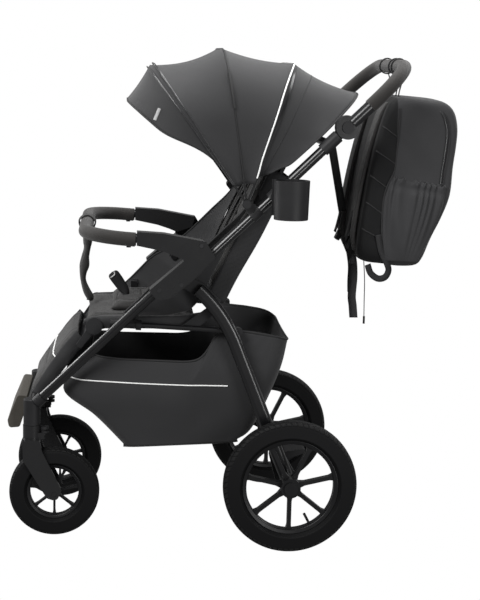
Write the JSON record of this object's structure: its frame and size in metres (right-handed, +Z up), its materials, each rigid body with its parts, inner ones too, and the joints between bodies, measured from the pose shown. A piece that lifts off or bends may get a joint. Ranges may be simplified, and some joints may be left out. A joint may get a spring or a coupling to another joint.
{
  "type": "baby stroller",
  "caption": "Folding baby stroller with hinged canopy, reclining seat, bumper bar, swivel front wheels, shopping basket, cup holder and a backpack hung on the handle.",
  "frame": {"origin": "middle of the footprint of the whole object, on the floor plane", "axes": "front is -X, the push handle is +X, the child's left side is -Y, up is +Z"},
  "size_m": [1.0291, 0.6468, 1.1095],
  "materials": {
    "tube_black": "satin black powder coat",
    "steel_dark": "satin black painted steel",
    "pin_steel": "plain turned steel",
    "joint_plastic": "fine moulded grain",
    "gloss_plastic": "polished moulding",
    "tyre_rubber": "moulded tread",
    "rim_plastic": "moulded spoked wheel",
    "cloth_black": "matt woven polyester with white piping",
    "quilt_black": "quilted leather-look fabric",
    "board": "plain stiffening board",
    "foam_grip": "closed foam sleeve"
  },
  "bodies": {
    "rear_frame": {"rear_leg_left": "tube_black", "rear_leg_right": "tube_black", "rear_axle": "steel_dark", "leg_fittings": "joint_plastic", "fold_pins": "pin_steel", "basket": "cloth_black"},
    "front_frame": {"lower_tube_left": "tube_black", "lower_tube_right": "tube_black", "front_crossbar": "tube_black", "caster_housings": "joint_plastic", "hinge_shell_left": "gloss_plastic", "hinge_shell_right": "gloss_plastic", "shell_screws": "pin_steel", "seat_board": "board", "seat_pad": "quilt_black", "footrest": "joint_plastic"},
    "side_links": {"side_links": "tube_black"},
    "side_sleeves": {"side_sleeves": "joint_plastic"},
    "upper_frame": {"upper_tube_left": "tube_black", "upper_tube_right": "tube_black", "upper_crossbar": "tube_black", "handle_hubs": "joint_plastic", "canopy_clips": "joint_plastic", "cup_bracket": "joint_plastic", "canopy_panel_rear": "cloth_black"},
    "handle": {"handle_tube": "tube_black", "handle_grip": "foam_grip"},
    "hub_button_left": {"hub_button_left": "joint_plastic"},
    "hub_button_right": {"hub_button_right": "joint_plastic"},
    "cup": {"cup_holder": "joint_plastic"},
    "bag": {"bag_body": "cloth_black", "bag_hangers": "cloth_black"},
    "canopy_rear": {"canopy_bow_rear": "steel_dark", "canopy_panel_mid": "cloth_black"},
    "canopy_mid": {"canopy_bow_mid": "steel_dark", "canopy_panel_front": "cloth_black"},
    "canopy_front": {"canopy_bow_front": "steel_dark"},
    "backrest": {"backrest_board": "board", "backrest_pad": "quilt_black", "shoulder_straps": "cloth_black"},
    "legrest": {"legrest_frame": "board", "legrest_pad": "quilt_black"},
    "bumper": {"bumper_bar": "tube_black", "bumper_cover": "foam_grip"},
    "bumper_buttons": {"bumper_buttons": "joint_plastic"},
    "brake": {"brake_pedal": "joint_plastic"},
    "rear_wheel_left": {"rear_tyre_left": "tyre_rubber", "rear_rim_left": "rim_plastic"},
    "rear_wheel_right": {"rear_tyre_right": "tyre_rubber", "rear_rim_right": "rim_plastic"},
    "caster_left": {"fork_left": "gloss_plastic"},
    "caster_right": {"fork_right": "gloss_plastic"},
    "swivel_lock_left": {"swivel_lock_left": "joint_plastic"},
    "swivel_lock_right": {"swivel_lock_right": "joint_plastic"},
    "front_wheel_left": {"front_tyre_left": "tyre_rubber", "front_rim_left": "rim_plastic"},
    "front_wheel_right": {"front_tyre_right": "tyre_rubber", "front_rim_right": "rim_plastic"}
  },
  "joints": [
    {"name": "fold_front", "type": "hinge", "parent": "rear_frame", "child": "front_frame", "pos_m": [-0.12737, 0.02095, 0.6], "axis": [0, 1, 0], "range_deg": [-40.1, 0], "deforming": ["basket", "seat_pad"]},
    {"name": "fold", "type": "hinge", "parent": "front_frame", "child": "upper_frame", "pos_m": [-0.12737, 0.02095, 0.6], "axis": [0, 1, 0], "range_deg": [0, 120], "deforming": ["canopy_panel_rear"]},
    {"name": "side_link", "type": "hinge", "parent": "rear_frame", "child": "side_links", "pos_m": [0.00395, 0.02095, 0.48585], "axis": [0, 1, 0], "range_deg": [-20.1, 0]},
    {"name": "side_sleeve", "type": "hinge", "parent": "front_frame", "child": "side_sleeves", "pos_m": [-0.2699, 0.02095, 0.5002], "axis": [0, 1, 0], "range_deg": [0, 20.1]},
    {"name": "rear_wheel_left_spin", "type": "hinge", "parent": "rear_frame", "child": "rear_wheel_left", "pos_m": [0.12363, 0.02095, 0.15], "axis": [0, 1, 0], "continuous": true},
    {"name": "rear_wheel_right_spin", "type": "hinge", "parent": "rear_frame", "child": "rear_wheel_right", "pos_m": [0.12363, 0.02095, 0.15], "axis": [0, 1, 0], "continuous": true},
    {"name": "brake_press", "type": "hinge", "parent": "rear_frame", "child": "brake", "pos_m": [0.12363, 0.02095, 0.15], "axis": [0, 1, 0], "range_deg": [0, 18]},
    {"name": "caster_left_swivel", "type": "hinge", "parent": "front_frame", "child": "caster_left", "pos_m": [-0.45637, -0.13255, 0.211], "axis": [0, 0, 1], "continuous": true},
    {"name": "caster_right_swivel", "type": "hinge", "parent": "front_frame", "child": "caster_right", "pos_m": [-0.45637, 0.17445, 0.211], "axis": [0, 0, 1], "continuous": true},
    {"name": "front_wheel_left_spin", "type": "hinge", "parent": "caster_left", "child": "front_wheel_left", "pos_m": [-0.40437, -0.13255, 0.1025], "axis": [0, 1, 0], "continuous": true},
    {"name": "front_wheel_right_spin", "type": "hinge", "parent": "caster_right", "child": "front_wheel_right", "pos_m": [-0.40437, 0.17445, 0.1025], "axis": [0, 1, 0], "continuous": true},
    {"name": "swivel_lock_left_lift", "type": "hinge", "parent": "caster_left", "child": "swivel_lock_left", "pos_m": [-0.43137, -0.13255, 0.235], "axis": [0, 1, 0], "range_deg": [0, 15]},
    {"name": "swivel_lock_right_lift", "type": "hinge", "parent": "caster_right", "child": "swivel_lock_right", "pos_m": [-0.43137, 0.17445, 0.235], "axis": [0, 1, 0], "range_deg": [0, 15]},
    {"name": "legrest_tilt", "type": "hinge", "parent": "front_frame", "child": "legrest", "pos_m": [-0.31737, 0.02095, 0.491], "axis": [0, 1, 0], "range_deg": [0, 54], "deforming": ["legrest_pad"]},
    {"name": "bumper_slide", "type": "slide", "parent": "front_frame", "child": "bumper", "axis": [-0.9976, 0, 0.0698], "range_m": [0, 0.06]},
    {"name": "bumper_button_press", "type": "slide", "parent": "bumper", "child": "bumper_buttons", "axis": [0, 0, 1], "range_m": [0, 0.003], "stiffness_N_per_m": 400},
    {"name": "handle_tilt", "type": "hinge", "parent": "upper_frame", "child": "handle", "pos_m": [0.22844, 0.02095, 0.94843], "axis": [0, 1, 0], "range_deg": [-60, 30]},
    {"name": "hub_button_left_press", "type": "slide", "parent": "handle", "child": "hub_button_left", "axis": [0, 1, 0], "range_m": [0, 0.003], "stiffness_N_per_m": 400},
    {"name": "hub_button_right_press", "type": "slide", "parent": "handle", "child": "hub_button_right", "axis": [0, -1, 0], "range_m": [0, 0.003], "stiffness_N_per_m": 400},
    {"name": "cup_lift", "type": "slide", "parent": "upper_frame", "child": "cup", "axis": [0, 0, 1], "range_m": [0, 0.06]},
    {"name": "recline", "type": "hinge", "parent": "front_frame", "child": "backrest", "pos_m": [-0.05237, 0.02095, 0.53], "axis": [0, 1, 0], "range_deg": [0, 40], "deforming": ["backrest_pad", "shoulder_straps"]},
    {"name": "canopy_fold", "type": "hinge", "parent": "upper_frame", "child": "canopy_rear", "pos_m": [0.01169, 0.02095, 0.77901], "axis": [0, 1, 0], "range_deg": [0, 20], "deforming": ["canopy_panel_mid"]},
    {"name": "canopy_fold_mid", "type": "hinge", "parent": "canopy_rear", "child": "canopy_mid", "pos_m": [0.01169, 0.02095, 0.77901], "axis": [0, 1, 0], "range_deg": [0, 22], "deforming": ["canopy_panel_front"]},
    {"name": "canopy_fold_front", "type": "hinge", "parent": "canopy_mid", "child": "canopy_front", "pos_m": [0.01169, 0.02095, 0.77901], "axis": [0, 1, 0], "range_deg": [0, 22]},
    {"name": "bag_swing", "type": "hinge", "parent": "handle", "child": "bag", "pos_m": [0.36419, 0.02095, 1.08137], "axis": [0, 1, 0], "range_deg": [-10, 25], "deforming": ["bag_body", "bag_hangers"]}
  ],
  "couplings": [
    {"joint": "fold_front", "follows": "fold", "ratio": -0.33333},
    {"joint": "side_link", "follows": "fold", "ratio": -0.16667},
    {"joint": "side_sleeve", "follows": "fold", "ratio": 0.16667},
    {"joint": "canopy_fold_mid", "follows": "canopy_fold", "ratio": 1.1},
    {"joint": "canopy_fold_front", "follows": "canopy_fold", "ratio": 1.1}
  ]
}
